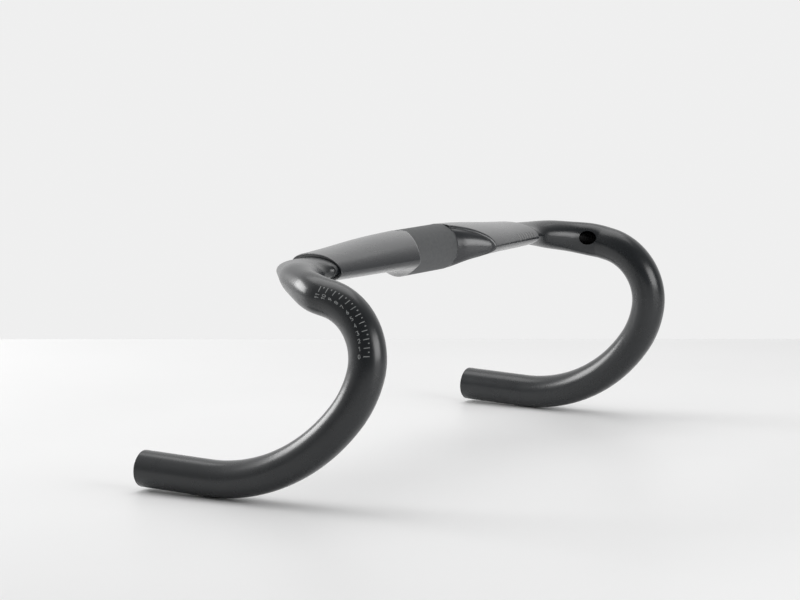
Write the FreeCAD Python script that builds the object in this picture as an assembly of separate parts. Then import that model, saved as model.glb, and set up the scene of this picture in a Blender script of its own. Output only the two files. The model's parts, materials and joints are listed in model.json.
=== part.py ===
"""Drop handlebar with a wing-shaped top: every piece is one STEP file in parts/.

Frame: origin at the centre of the stem clamp barrel, +X to the rider's left,
-Y forward, +Z up with the bar standing on its two drops. Millimetres and degrees.
The left half is modelled and mirrored across the YZ plane for the right half.
"""
import FreeCAD
import Part
import math
import os

from FreeCAD import Vector

# ---- stem clamp barrel ----
BARREL_R = 15.9             # 31.8 mm clamp standard
BARREL_HALF = 28.0          # the round barrel ends here on each side
BARREL_WALL = 2.5
COAT_THICK = 0.15           # rough friction coat, flush with the barrel
COAT_HALF = 26.0
SLEEVE_WALL = 1.5
SLEEVE_HALF = 24.0

# ---- drop: flat hook whose plane is tilted outwards ----
TUBE_R = 12.0
TUBE_WALL = 2.0
BAR_END = Vector(210.4, 80.5, -126.7)   # centre of the open end, 420.8 mm apart
FLARE = 7.2                 # the hook leans outwards towards the bottom
OUTSWEEP = 1.5              # and opens outwards towards the rear
GRIP_DIP = 1.9              # the straight grip falls forwards by this angle
GRIP_LENGTH = 50.5
HOOK_BENDS = ((117.5, 55.0), (67.0, 24.0), (39.0, 90.0))   # radius, angle
RAMP_LENGTH = 5.0
END_ROUND = 0.6

# ---- corner between the ramp and the wing ----
SPIGOT_ROOT = Vector(138.0, 0.4, -0.5)  # the corner ends here, its flat spigot runs inwards
CORNER_HANDLES = (15.8, 18.7)           # curve handles at the ramp and at the spigot
SPIGOT_OVAL = (20.6, 7.3)               # half width and half height of the spigot
# share of the corner, half width, half height
CORNER_OVALS = (
    (0.20, 11.2, 12.0),
    (0.40, 11.4, 11.0),
    (0.58, 13.2, 10.3),
    (0.76, 15.4, 8.5),
    (0.91, 19.3, 7.6),
)
CORNER_STEPS = 10
SPIGOT_LENGTH = 32.0
BOND_GAP = 0.25
BOND_START = 13.5                       # the adhesive begins this far from the spigot's root

# ---- sections: x, nose y, nose z, top z, bottom z, rear y, front and rear fullness ----
# fullness is the outline's exponent: 2 is an ellipse, less is leaner, more is boxier
WING_SECTIONS = (
    (27.5, -35.9, -0.8, 15.8, -10.6, 15.2, 1.9, 2.5),
    (56.0, -32.1, -0.9, 14.4, -9.8, 20.4, 1.9, 2.5),
    (80.0, -28.9, -1.2, 12.6, -9.5, 22.4, 1.9, 2.5),
    (105.0, -25.6, -1.6, 10.6, -9.5, 23.0, 1.9, 2.5),
    (134.0, -22.2, -2.0, 8.7, -9.3, 22.7, 1.9, 2.7),
    (144.0, -21.0, -2.1, 8.1, -9.2, 22.1, 1.9, 2.7),
)
# recessed shoulder that flares from the barrel to the wing's nose
SHOULDER_SECTIONS = (
    (25.0, -14.8, 0.0, 15.0, -15.0, 15.0, 2.0, 2.0),
    (28.3, -16.6, -0.2, 15.5, -15.7, 15.7, 2.0, 2.0),
    (32.0, -19.8, -0.5, 15.0, -14.3, 15.6, 2.3, 2.0),
    (36.0, -22.6, -0.8, 14.7, -12.6, 15.6, 2.5, 2.0),
    (42.0, -26.3, -0.9, 14.1, -11.0, 15.8, 2.5, 2.0),
    (48.0, -29.8, -0.9, 13.4, -10.0, 16.0, 2.3, 2.0),
    (54.0, -31.2, -0.9, 12.8, -9.3, 16.0, 2.0, 2.0),
    (64.0, -28.5, -0.9, 11.0, -8.2, 15.0, 2.0, 2.0),
)
CAVITY_SECTIONS = (
    (22.0, -12.5, 0.0, 12.8, -12.8, 12.8, 2.0, 2.0),
    (29.0, -13.6, -0.2, 12.6, -12.6, 12.6, 2.0, 2.0),
    (36.0, -19.6, -0.8, 11.8, -10.2, 12.6, 2.2, 2.0),
    (44.0, -24.6, -0.9, 11.2, -8.3, 13.4, 2.2, 2.0),
    (56.0, -28.6, -0.9, 11.3, -7.2, 17.0, 1.9, 2.0),
    (80.0, -26.0, -1.2, 9.8, -7.0, 19.6, 1.9, 2.0),
    (112.0, -17.6, -0.9, 6.4, -7.0, 17.8, 1.9, 2.0),
)
SECTION_POINTS = 28
RIM_OFFSET = 19.0           # the plane of the wing's inner end crosses y = 0 here
RIM_SLANT = 45.0
RIM_ROUND = 1.8
MOUTH_OFFSET = 129.6        # the plane of the wing's open end crosses y = 0 here
MOUTH_SLANT = 11.3          # and its rear end is further in
LIP_ROUND = 0.5

# ---- hose ports ----
PORT_SHARE = 0.23           # place along the corner, on its inner side
PORT_SIZE = (6.3, 5.1)      # half length, half height
PORT_LIFT = 9.0             # the port looks this many degrees upwards
EXIT_CENTRE = Vector(46.0, 5.0, -3.0)   # the exit is cut downwards from here
EXIT_SIZE = (7.0, 4.0)
CUT_DEPTH = 20.0
BLOCK_SIZE = 400.0          # cutting block, bigger than the bar
MATCH_GAP = 0.1             # places and sizes closer than this are the same

# ---- printed marks ----
PRINT_THICK = 0.08
SCALE_STEPS = 11            # numerals run from 0 at the bottom to this
SCALE_START = 204.0         # distance of mark 0 from the bar end, along the hook
SCALE_PITCH = 4.6
SCALE_ANGLE = 63.5          # from the hook's outer edge towards its outboard side
SCALE_BOW = 11.0            # the row of marks bows forwards by this angle at its middle
TICK_SIZE = (3.8, 0.45)
DOT_SIZE = (1.0, 0.6)
DOT_SHIFT = 1.3
NUMERAL_SHIFT = 4.6
NUMERAL_SIZE = (1.2, 2.4)   # width, height
NUMERAL_GAP = 0.6
STROKE = 0.35
MARK_START = 98.0           # x of the first bar of the wing mark
MARK_PITCH = 4.6
MARK_BARS = (5.0, 3.6, 5.0, 3.6, 5.0, 3.6, 5.0)   # bar heights
MARK_BAR_WIDTH = 1.6
MARK_Z = 1.6
MARK_FRONT = -35.0          # the bars are cut from the nose between here
MARK_DEPTH = 14.0           # and this much further back

# strokes of each digit in a cell 1 wide and 2 high
DIGITS = {
    "0": (((0.3, 0), (0.7, 0), (1, 0.4), (1, 1.6), (0.7, 2), (0.3, 2), (0, 1.6), (0, 0.4), (0.3, 0)),),
    "1": (((0.1, 1.6), (0.6, 2), (0.6, 0)),),
    "2": (((0, 1.6), (0.3, 2), (0.8, 2), (1, 1.6), (1, 1.2), (0, 0), (1, 0)),),
    "3": (((0, 2), (1, 2), (0.5, 1.2), (1, 0.8), (1, 0.3), (0.7, 0), (0.2, 0), (0, 0.3)),),
    "4": (((0.75, 0), (0.75, 2), (0, 0.6), (1, 0.6)),),
    "5": (((1, 2), (0.1, 2), (0.1, 1.2), (0.7, 1.2), (1, 0.8), (1, 0.3), (0.7, 0), (0, 0.1)),),
    "6": (((0.8, 2), (0.2, 1.3), (0, 0.4), (0.3, 0), (0.7, 0), (1, 0.4), (0.8, 1.1), (0.2, 1.1)),),
    "7": (((0, 2), (1, 2), (0.4, 0)),),
    "8": (((0.3, 0), (0.7, 0), (1, 0.4), (0.8, 1), (0.2, 1), (0, 0.4), (0.3, 0)),
          ((0.2, 1), (0, 1.6), (0.3, 2), (0.7, 2), (1, 1.6), (0.8, 1))),
    "9": (((0.2, 0), (0.8, 0.7), (1, 1.6), (0.7, 2), (0.3, 2), (0, 1.6), (0.2, 0.9), (0.8, 0.9)),),
}

X_AXIS = Vector(1, 0, 0)
Z_AXIS = Vector(0, 0, 1)
ORIGIN = Vector(0, 0, 0)
TO_WING = Vector(-1, 0, 0)


# ---------------------------------------------------------------- hook and corner paths

def hook_frame():
    """Forward and up directions of the hook's plane, and its outboard normal."""
    sweep = math.radians(OUTSWEEP)
    forward = Vector(-math.sin(sweep), -math.cos(sweep), 0)
    outboard = Vector(1, -math.tan(sweep), math.tan(math.radians(FLARE))).normalize()
    return forward, forward.cross(outboard), outboard


FORWARD, HOOK_UP, OUTBOARD = hook_frame()


def heading(angle):
    """Direction in the hook's plane, angle in radians above forward."""
    return FORWARD * math.cos(angle) + HOOK_UP * math.sin(angle)


def hook_path():
    """Centreline edges from the bar end to the top of the ramp, its end and its direction."""
    angle = math.radians(-GRIP_DIP)
    point = BAR_END + heading(angle) * GRIP_LENGTH
    edges = [Part.LineSegment(BAR_END, point).toShape()]
    for radius, turn in HOOK_BENDS:
        quarter = math.pi / 2
        centre = point + heading(angle + quarter) * radius
        middle = angle + math.radians(turn) / 2
        angle += math.radians(turn)
        arc = Part.Arc(point, centre + heading(middle - quarter) * radius,
                       centre + heading(angle - quarter) * radius)
        edges.append(arc.toShape())
        point = centre + heading(angle - quarter) * radius
    end = point + heading(angle) * RAMP_LENGTH
    edges.append(Part.LineSegment(point, end).toShape())
    return edges, end, heading(angle)


HOOK_EDGES, RAMP_TOP, RAMP_DIRECTION = hook_path()


def along_hook(distance):
    """Point and direction of the hook's centreline at a distance from the bar end."""
    for edge in HOOK_EDGES:
        if distance <= edge.Length:
            break
        distance -= edge.Length
    place = edge.getParameterByLength(distance)
    return edge.valueAt(place), edge.tangentAt(place)


def corner_path():
    """Curve from the top of the ramp to the root of the spigot."""
    curve = Part.BezierCurve()
    curve.setPoles([
        RAMP_TOP,
        RAMP_TOP + RAMP_DIRECTION * CORNER_HANDLES[0],
        SPIGOT_ROOT - TO_WING * CORNER_HANDLES[1],
        SPIGOT_ROOT,
    ])
    return curve


CORNER = corner_path()


# ---------------------------------------------------------------- drops

def oval(centre, along, half_width, half_height):
    """Exact ellipse square to `along`, with its width level."""
    wide = Z_AXIS.cross(along).normalize()
    high = along.cross(wide).normalize()
    circle = Part.Circle(ORIGIN, Z_AXIS, 1.0).toShape()
    place = FreeCAD.Matrix(
        wide.x * half_width, high.x * half_height, along.x, centre.x,
        wide.y * half_width, high.y * half_height, along.y, centre.y,
        wide.z * half_width, high.z * half_height, along.z, centre.z,
        0, 0, 0, 1)
    return Part.Wire(circle.transformGeometry(place).Edges)


def spigot_oval(grow):
    """Flat section of the spigot, grown by `grow`."""
    return oval(SPIGOT_ROOT, TO_WING, SPIGOT_OVAL[0] + grow, SPIGOT_OVAL[1] + grow)


def hook_bar(radius, edges):
    """Round bar along some of the hook's centreline edges."""
    start = edges[0].valueAt(edges[0].FirstParameter)
    along = edges[0].tangentAt(edges[0].FirstParameter)
    profile = Part.Face(Part.Wire(Part.Circle(start, along, radius).toShape()))
    return Part.Wire(edges).makePipe(profile)


def corner_sizes():
    """Even steps along the corner as (share, half width, half height), level at both ends."""
    ends = (Vector(0, TUBE_R, TUBE_R), Vector(1, *SPIGOT_OVAL))
    knots = [ends[0]] + [Vector(*values) for values in CORNER_OVALS] + [ends[1]]
    curve = Part.BSplineCurve()
    curve.interpolate(Points=knots, Parameters=[knot.x for knot in knots],
                      InitialTangent=X_AXIS, FinalTangent=X_AXIS, Scale=False)
    return [curve.value(i / CORNER_STEPS) for i in range(CORNER_STEPS + 1)]


def corner_bar(inset):
    """Solid corner from the round ramp to the flat spigot, shrunk by `inset`."""
    wires = []
    for share, half_width, half_height in corner_sizes():
        along = CORNER.tangent(share)[0]
        wires.append(oval(CORNER.value(share), along, half_width - inset, half_height - inset))
    return Part.makeLoft(wires, True, False)


def flat_bar(grow, start=0.0, length=SPIGOT_LENGTH):
    """Straight bar of the spigot's section, from `start` to `length` inwards of its root."""
    wire = spigot_oval(grow)
    wire.translate(TO_WING * start)
    return Part.Face(wire).extrude(TO_WING * (length - start))


def drop_bar(inset):
    """Whole drop without its hollow, shrunk by `inset`: three bars sewn end to end."""
    bars = (hook_bar(TUBE_R - inset, HOOK_EDGES), corner_bar(inset), flat_bar(-inset))
    skin = []
    for face in [face for bar in bars for face in bar.Faces]:
        gaps = [face.CenterOfMass.distanceToPoint(joint) for joint in (RAMP_TOP, SPIGOT_ROOT)]
        if min(gaps) > MATCH_GAP:
            skin.append(face)
    shell = Part.makeShell(skin)
    shell.sewShape()
    return Part.makeSolid(shell)


def port_cutter():
    """Oval plug across the corner's inner wall."""
    centre = CORNER.value(PORT_SHARE)
    along = CORNER.tangent(PORT_SHARE)[0]
    inner = along.cross(Z_AXIS).normalize() * -1
    lift = math.radians(PORT_LIFT)
    outwards = inner * math.cos(lift) + Z_AXIS * math.sin(lift)
    return Part.Face(oval(centre, outwards, *PORT_SIZE)).extrude(outwards * CUT_DEPTH)


def round_circle(shape, centre, radius, rounding):
    """Round the outer edge of a circle of `radius` about `centre`."""
    edges = []
    for edge in shape.Edges:
        is_circle = isinstance(edge.Curve, Part.Circle)
        if is_circle and edge.Curve.Center.distanceToPoint(centre) < MATCH_GAP:
            if abs(edge.Curve.Radius - radius) < MATCH_GAP:
                edges.append(edge)
    return shape.makeFillet(rounding, edges)


def drop():
    solid = round_circle(drop_bar(0), BAR_END, TUBE_R, END_ROUND)
    return solid.cut([drop_bar(TUBE_WALL), port_cutter()])


def bond():
    """Adhesive layer between the spigot and the socket."""
    return flat_bar(BOND_GAP, BOND_START).cut(flat_bar(0, BOND_START))


# ---------------------------------------------------------------- wing and barrel

def section(values, grow):
    """Closed smooth outline in the plane at x, through the section's four extreme points."""
    x, nose_y, nose_z, top_z, bottom_z, rear_y, front_fullness, rear_fullness = values
    points = []
    for i in range(SECTION_POINTS):
        angle = 2 * math.pi * i / SECTION_POINTS
        cosine, sine = math.cos(angle), math.sin(angle)
        power = 2 / (front_fullness if cosine < 0 else rear_fullness)
        reach = grow - nose_y if cosine < 0 else rear_y + grow
        rise = (top_z - nose_z if sine > 0 else nose_z - bottom_z) + grow
        y = math.copysign(abs(cosine) ** power, cosine) * reach
        z = nose_z + math.copysign(abs(sine) ** power, sine) * rise
        points.append(Vector(x, y, z))
    curve = Part.BSplineCurve()
    curve.interpolate(Points=points, PeriodicFlag=True)
    return Part.Wire(curve.toShape())


def loft(sections, grow=0.0):
    """Smooth solid through sections."""
    return Part.makeLoft([section(values, grow) for values in sections], True, False)


def rounded_end(body, offset, turn, rounding):
    """Cut the body by an upright plane that crosses the X axis at `offset`, and round the rim."""
    size = BLOCK_SIZE
    block = Part.makeBox(size, size, size, Vector(0, -size / 2, -size / 2))
    block.rotate(ORIGIN, Z_AXIS, turn)
    block.translate(X_AXIS * offset)
    body = body.cut(block)
    normal = Vector(math.cos(math.radians(turn)), math.sin(math.radians(turn)), 0)
    rim = []
    for face in body.Faces:
        flat = isinstance(face.Surface, Part.Plane) and face.Surface.Axis.cross(normal).Length < MATCH_GAP
        if flat and abs((face.CenterOfMass - X_AXIS * offset).dot(normal)) < MATCH_GAP:
            rim += [edge for edge in face.Edges if not isinstance(edge.Curve, Part.Line)]
    return body.makeFillet(rounding, rim)


def wing():
    """Outer wing skin: slanted inner end over the shoulder, slanted open mouth."""
    body = rounded_end(loft(WING_SECTIONS), RIM_OFFSET, 180 + RIM_SLANT, RIM_ROUND)
    return rounded_end(body, MOUTH_OFFSET, MOUTH_SLANT, LIP_ROUND)


def mirrored(shape):
    return shape.mirror(ORIGIN, X_AXIS)


def both(shape):
    return [shape, mirrored(shape)]


def rod(radius, half):
    """Round bar along X, centred on the origin."""
    return Part.makeCylinder(radius, 2 * half, Vector(-half, 0, 0), X_AXIS)


def ring(outer, inner, half):
    return rod(outer, half).cut(rod(inner, half))


def exit_cutter():
    """Oval plug through the shoulder's underside, where a hose comes out."""
    outline = Part.Ellipse(EXIT_CENTRE, *EXIT_SIZE).toShape()
    return Part.Face(Part.Wire(outline)).extrude(Z_AXIS * -CUT_DEPTH)


def centre_section():
    parts = both(wing()) + both(loft(SHOULDER_SECTIONS))
    outer = rod(BARREL_R, BARREL_HALF).fuse(parts)
    hollow = both(loft(CAVITY_SECTIONS)) + both(flat_bar(BOND_GAP))
    inner = rod(BARREL_R - BARREL_WALL, BARREL_HALF).fuse(hollow)
    coat = ring(BARREL_R + 1, BARREL_R - COAT_THICK, COAT_HALF)
    return outer.cut([inner, coat] + both(exit_cutter()))


# ---------------------------------------------------------------- printed marks

def surface_frame(distance, angle):
    """Point on the hook's surface with the directions out, up the tube and around it."""
    centre, along = along_hook(distance)
    edge_side = OUTBOARD.cross(along)
    swing = math.radians(angle)
    out = edge_side * math.cos(swing) + OUTBOARD * math.sin(swing)
    around = OUTBOARD * math.cos(swing) - edge_side * math.sin(swing)
    return centre + out * TUBE_R, out, along, around


def stamp(frame, start, end, width):
    """Small block from start to end, given as (around, up) from the frame's point."""
    point, out, up, around = frame
    first = point + around * start[0] + up * start[1]
    last = point + around * end[0] + up * end[1]
    run = (last - first).normalize()
    side = out.cross(run)
    first = first - run * (width / 2) - out
    last = last + run * (width / 2) - out
    corners = [first + side * (width / 2), last + side * (width / 2),
               last - side * (width / 2), first - side * (width / 2)]
    return Part.Face(Part.makePolygon(corners + corners[:1])).extrude(out * 2)


def mark_frame(step, shift):
    """Frame for a mark `step` pitches up the scale, shifted around the tube."""
    bow = SCALE_BOW * math.sin(math.pi * step / SCALE_STEPS)
    angle = SCALE_ANGLE - bow + math.degrees(shift / TUBE_R)
    return surface_frame(SCALE_START + SCALE_PITCH * step, angle)


def dash(step, shift, size):
    """Straight mark of size (length around the tube, width)."""
    reach = (size[0] - size[1]) / 2
    return stamp(mark_frame(step, shift), (-reach, 0), (reach, 0), size[1])


def numeral(value, hand):
    """Strokes of one numeral; `hand` is +1 to read outboards and -1 to read forwards."""
    text = str(value)
    width, height = NUMERAL_SIZE
    pitch = width + NUMERAL_GAP
    left = -(pitch * len(text) - NUMERAL_GAP) / 2
    frame = mark_frame(value, NUMERAL_SHIFT)
    blocks = []
    for place, digit in enumerate(text):
        for line in DIGITS[digit]:
            spots = [(hand * (left + pitch * place + x * width), (y - 1) * height / 2) for x, y in line]
            blocks += [stamp(frame, a, b, STROKE) for a, b in zip(spots, spots[1:])]
    return blocks[0].fuse(blocks[1:])


def print_skin():
    """Thin layer on the upper hook that the printed marks are cut from."""
    edges = HOOK_EDGES[-2:]
    return hook_bar(TUBE_R + PRINT_THICK, edges).cut(hook_bar(TUBE_R, edges))


def printed(blocks, skin):
    return Part.makeCompound([piece for b in blocks for piece in skin.common(b).Solids])


def wing_mark():
    """Plain row of bars on the wing's nose near the mouth."""
    outer = loft(WING_SECTIONS, PRINT_THICK)
    skin = outer.cut(loft(WING_SECTIONS))
    bars = []
    for i, height in enumerate(MARK_BARS):
        corner = Vector(MARK_START + i * MARK_PITCH, MARK_FRONT, MARK_Z - height / 2)
        bars.append(Part.makeBox(MARK_BAR_WIDTH, MARK_DEPTH, height, corner))
    return printed(bars, skin)


# ---------------------------------------------------------------- export

def export(name, shape):
    shape.exportStep("parts/" + name + ".step")
    print(name, "valid", shape.isValid(), "solids", len(shape.Solids), "mm3", round(shape.Volume, 2))


def export_pair(name, left):
    export("left_" + name, left)
    export("right_" + name, mirrored(left))


def main():
    os.makedirs("parts", exist_ok=True)
    bore_r = BARREL_R - BARREL_WALL
    export("centre_section", centre_section())
    export("clamp_reinforcement", ring(bore_r, bore_r - SLEEVE_WALL, SLEEVE_HALF))
    export("clamp_grip_coat", ring(BARREL_R, BARREL_R - COAT_THICK, COAT_HALF))
    export_pair("drop", drop())
    export_pair("bond", bond())
    skin = print_skin()
    steps = range(SCALE_STEPS + 1)
    export_pair("scale_ticks", printed([dash(i, 0, TICK_SIZE) for i in steps], skin))
    dots = [dash(i + 0.5, -DOT_SHIFT, DOT_SIZE) for i in steps[:-1]]
    export_pair("scale_dots", printed(dots, skin))
    export("left_scale_numerals", printed([numeral(i, 1) for i in steps], skin))
    export("right_scale_numerals", mirrored(printed([numeral(i, -1) for i in steps], skin)))
    export("left_wing_mark", wing_mark())


main()
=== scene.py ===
import json
import math

import bpy
from mathutils import Matrix, Vector

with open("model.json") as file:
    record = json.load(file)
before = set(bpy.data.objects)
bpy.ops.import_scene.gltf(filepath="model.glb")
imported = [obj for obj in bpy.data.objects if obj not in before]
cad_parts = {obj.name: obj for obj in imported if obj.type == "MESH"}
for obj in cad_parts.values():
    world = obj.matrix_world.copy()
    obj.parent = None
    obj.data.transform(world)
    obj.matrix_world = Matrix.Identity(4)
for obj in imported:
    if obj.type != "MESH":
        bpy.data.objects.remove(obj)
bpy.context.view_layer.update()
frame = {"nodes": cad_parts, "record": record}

# Satin carbon drop handlebar on a pale studio floor. Metres, +Z up, -Y forward.

FLOOR_Z = -0.1405               # the hooks' lowest point
FLOOR_BACK = 0.57               # the floor ends this far behind the bar, seen from the camera
FLOOR_REACH = 4.0               # and this far to the sides and towards the camera
VIEW = (0.8563, 0.5165)         # level direction in which the camera looks
CAMERA_AT = (-1.6196, -0.9621, 0.1975)
CAMERA_PITCH = -7.03            # degrees
CAMERA_LENS = 123.9             # millimetres
PALE_SIDE = (0.589, 0.808)      # level direction of the room's palest side, left of the view
ROOM_PALE = 0.865
ROOM_DIM = 0.15
ROOM_FADE = (-0.7, 0.75)        # dimmest and palest here, as the cosine to the palest side
LIGHT_DISTANCE = 1.5            # of the side lights from the bar, and of the top light above it
COAT_ROUGHNESS = 0.22
GRAIN_DEPTH = 0.0001
COLOUR_SPAN = (0.35, 0.65)      # the part of the noise's range that is used for colour
ROUGHNESS_SPAN = (0.3, 0.7)     # and for roughness
ROUGHNESS_FINENESS = 3          # how much finer the roughness noise is than the colour's


# ---------------------------------------------------------------- materials

def wire(tree, start, end):
    tree.links.new(start, end)


def noise(tree, scale, detail, stretch=(1, 1, 1)):
    """Noise over the part's own coordinates; scale is per metre."""
    coords = tree.nodes.new("ShaderNodeTexCoord")
    mapping = tree.nodes.new("ShaderNodeMapping")
    mapping.inputs["Scale"].default_value = stretch
    texture = tree.nodes.new("ShaderNodeTexNoise")
    texture.inputs["Scale"].default_value = scale
    texture.inputs["Detail"].default_value = detail
    wire(tree, coords.outputs["Object"], mapping.inputs["Vector"])
    wire(tree, mapping.outputs["Vector"], texture.inputs["Vector"])
    return texture.outputs["Fac"]


def ramp(tree, fac, dark, light):
    """Colour between dark and light, by a noise value."""
    node = tree.nodes.new("ShaderNodeValToRGB")
    for element, place, colour in zip(node.color_ramp.elements, COLOUR_SPAN, (dark, light)):
        element.position = place
        element.color = (*colour, 1)
    wire(tree, fac, node.inputs["Fac"])
    return node.outputs["Color"]


def spread(tree, fac, low, high):
    """Value between low and high, by a noise value."""
    node = tree.nodes.new("ShaderNodeMapRange")
    node.inputs["From Min"].default_value = ROUGHNESS_SPAN[0]
    node.inputs["From Max"].default_value = ROUGHNESS_SPAN[1]
    node.inputs["To Min"].default_value = low
    node.inputs["To Max"].default_value = high
    wire(tree, fac, node.inputs["Value"])
    return node.outputs["Result"]


def finish(name, dark, light, rough, grain, bump, blotch=25, stretch=(1, 1, 1), coat=0.0, specular=0.5):
    """Satin or matte surface: blotchy colour, uneven roughness and a fine grain.

    `grain` and `blotch` are noise scales per metre, `rough` is the least and most roughness.
    """
    material = bpy.data.materials.new(name)
    material.use_nodes = True
    tree = material.node_tree
    shader = tree.nodes["Principled BSDF"]
    shader.inputs["Specular IOR Level"].default_value = specular
    shader.inputs["Coat Weight"].default_value = coat
    shader.inputs["Coat Roughness"].default_value = COAT_ROUGHNESS
    wire(tree, ramp(tree, noise(tree, blotch, 4, stretch), dark, light), shader.inputs["Base Color"])
    uneven = noise(tree, blotch * ROUGHNESS_FINENESS, 5, stretch)
    wire(tree, spread(tree, uneven, *rough), shader.inputs["Roughness"])
    node = tree.nodes.new("ShaderNodeBump")
    node.inputs["Strength"].default_value = bump
    node.inputs["Distance"].default_value = GRAIN_DEPTH
    wire(tree, noise(tree, grain, 3), node.inputs["Height"])
    wire(tree, node.outputs["Normal"], shader.inputs["Normal"])
    return material


FINISHES = {
    "carbon_top": finish("satin_carbon_top", (0.019, 0.021, 0.024), (0.025, 0.027, 0.030),
                         (0.25, 0.30), 2600, 0.05, stretch=(0.3, 1, 1), coat=0.45),
    # Darker copy of the same satin carbon for the drops: painted shade, the hooks made darker than the
    # wing although the bar is one finish.
    "carbon_drop": finish("satin_carbon_drop_painted_shade", (0.008, 0.010, 0.012), (0.012, 0.014, 0.016),
                          (0.25, 0.31), 2600, 0.05, coat=0.2),
    "reinforcement": finish("raw_carbon", (0.012, 0.012, 0.012), (0.03, 0.03, 0.03),
                            (0.5, 0.65), 1200, 0.3),
    "grip_coat": finish("friction_coat", (0.076, 0.079, 0.081), (0.090, 0.093, 0.095),
                        (0.60, 0.68), 5200, 0.35, blotch=400),
    "adhesive": finish("epoxy", (0.05, 0.05, 0.045), (0.08, 0.08, 0.07),
                       (0.25, 0.4), 900, 0.2),
    "print": finish("scale_ink", (0.26, 0.27, 0.27), (0.36, 0.37, 0.37),
                    (0.5, 0.6), 4000, 0.1, blotch=300),
    "wing_print": finish("wing_ink", (0.16, 0.16, 0.16), (0.22, 0.22, 0.22),
                         (0.45, 0.55), 4000, 0.1, blotch=200),
}


def slot_of(node):
    return next(s["material_slot"] for s in frame["record"]["subparts"] if s["node"] == node)


for node_name, node_object in frame["nodes"].items():
    node_object.data.materials.clear()
    node_object.data.materials.append(FINISHES[slot_of(node_name)])


# ---------------------------------------------------------------- studio

def plane(name, corners, material):
    mesh = bpy.data.meshes.new(name)
    mesh.from_pydata(corners, [], [(0, 1, 2, 3)])
    mesh.materials.append(material)
    thing = bpy.data.objects.new(name, mesh)
    bpy.context.scene.collection.objects.link(thing)
    return thing


def floor_corner(across, along):
    """Corner of the floor, this far to the camera's right of the bar and behind it."""
    ahead = Vector((*VIEW, 0))
    side = Vector((VIEW[1], -VIEW[0], 0))
    return ahead * along + side * across + Vector((0, 0, FLOOR_Z))


def studio_floor():
    """Pale floor whose far edge is the horizon line seen behind the bar."""
    corners = [floor_corner(-FLOOR_REACH, -FLOOR_REACH), floor_corner(FLOOR_REACH, -FLOOR_REACH),
               floor_corner(FLOOR_REACH, FLOOR_BACK), floor_corner(-FLOOR_REACH, FLOOR_BACK)]
    surface = finish("pale_floor", (0.80, 0.80, 0.80), (0.82, 0.82, 0.82), (0.42, 0.48), 300, 0.02,
                     blotch=3, specular=0.35)
    floor = plane("studio_floor", corners, surface)


def softbox(name, place, width, height, power):
    """Rectangular light that faces the bar's middle; sizes in metres, power in watts."""
    light = bpy.data.lights.new(name, "AREA")
    light.shape = "RECTANGLE"
    light.size = width
    light.size_y = height
    light.energy = power
    lamp = bpy.data.objects.new(name, light)
    lamp.location = place
    lamp.rotation_euler = (-Vector(place)).to_track_quat("-Z", "Y").to_euler()
    bpy.context.scene.collection.objects.link(lamp)


def studio_spot(turn, height):
    """Place for a light, turned left from the view direction and raised, both in degrees."""
    level = math.atan2(VIEW[1], VIEW[0]) + math.radians(turn)
    rise = math.radians(height)
    return (LIGHT_DISTANCE * math.cos(level) * math.cos(rise),
            LIGHT_DISTANCE * math.sin(level) * math.cos(rise),
            LIGHT_DISTANCE * math.sin(rise))


def surroundings():
    """Room light: pale behind the bar, dimmer towards the camera and its right."""
    world = bpy.data.worlds.new("studio")
    world.use_nodes = True
    tree = world.node_tree
    coords = tree.nodes.new("ShaderNodeTexCoord")
    cosine = tree.nodes.new("ShaderNodeVectorMath")
    cosine.operation = "DOT_PRODUCT"
    cosine.inputs[1].default_value = (*PALE_SIDE, 0)
    wire(tree, coords.outputs["Generated"], cosine.inputs[0])
    shade = tree.nodes.new("ShaderNodeMapRange")
    shade.interpolation_type = "SMOOTHSTEP"
    shade.inputs["From Min"].default_value = ROOM_FADE[0]
    shade.inputs["From Max"].default_value = ROOM_FADE[1]
    shade.inputs["To Min"].default_value = ROOM_DIM
    shade.inputs["To Max"].default_value = ROOM_PALE
    wire(tree, cosine.outputs["Value"], shade.inputs["Value"])
    wire(tree, shade.outputs["Result"], tree.nodes["Background"].inputs["Color"])
    bpy.context.scene.world = world
    bpy.context.scene.view_settings.view_transform = "Standard"


def camera():
    data = bpy.data.cameras.new("view")
    data.lens = CAMERA_LENS
    lens = bpy.data.objects.new("view", data)
    level = math.atan2(-VIEW[0], VIEW[1])
    turn = Matrix.Rotation(level, 4, "Z") @ Matrix.Rotation(math.radians(90 + CAMERA_PITCH), 4, "X")
    lens.matrix_world = Matrix.Translation(CAMERA_AT) @ turn
    bpy.context.scene.collection.objects.link(lens)
    bpy.context.scene.camera = lens


studio_floor()
surroundings()
softbox("top", (0.35, 0.30, LIGHT_DISTANCE), 1.6, 1.2, 10)
softbox("side", studio_spot(72, 18), 0.9, 0.6, 13)
softbox("front", studio_spot(-122, 14), 1.0, 0.7, 11)
camera()
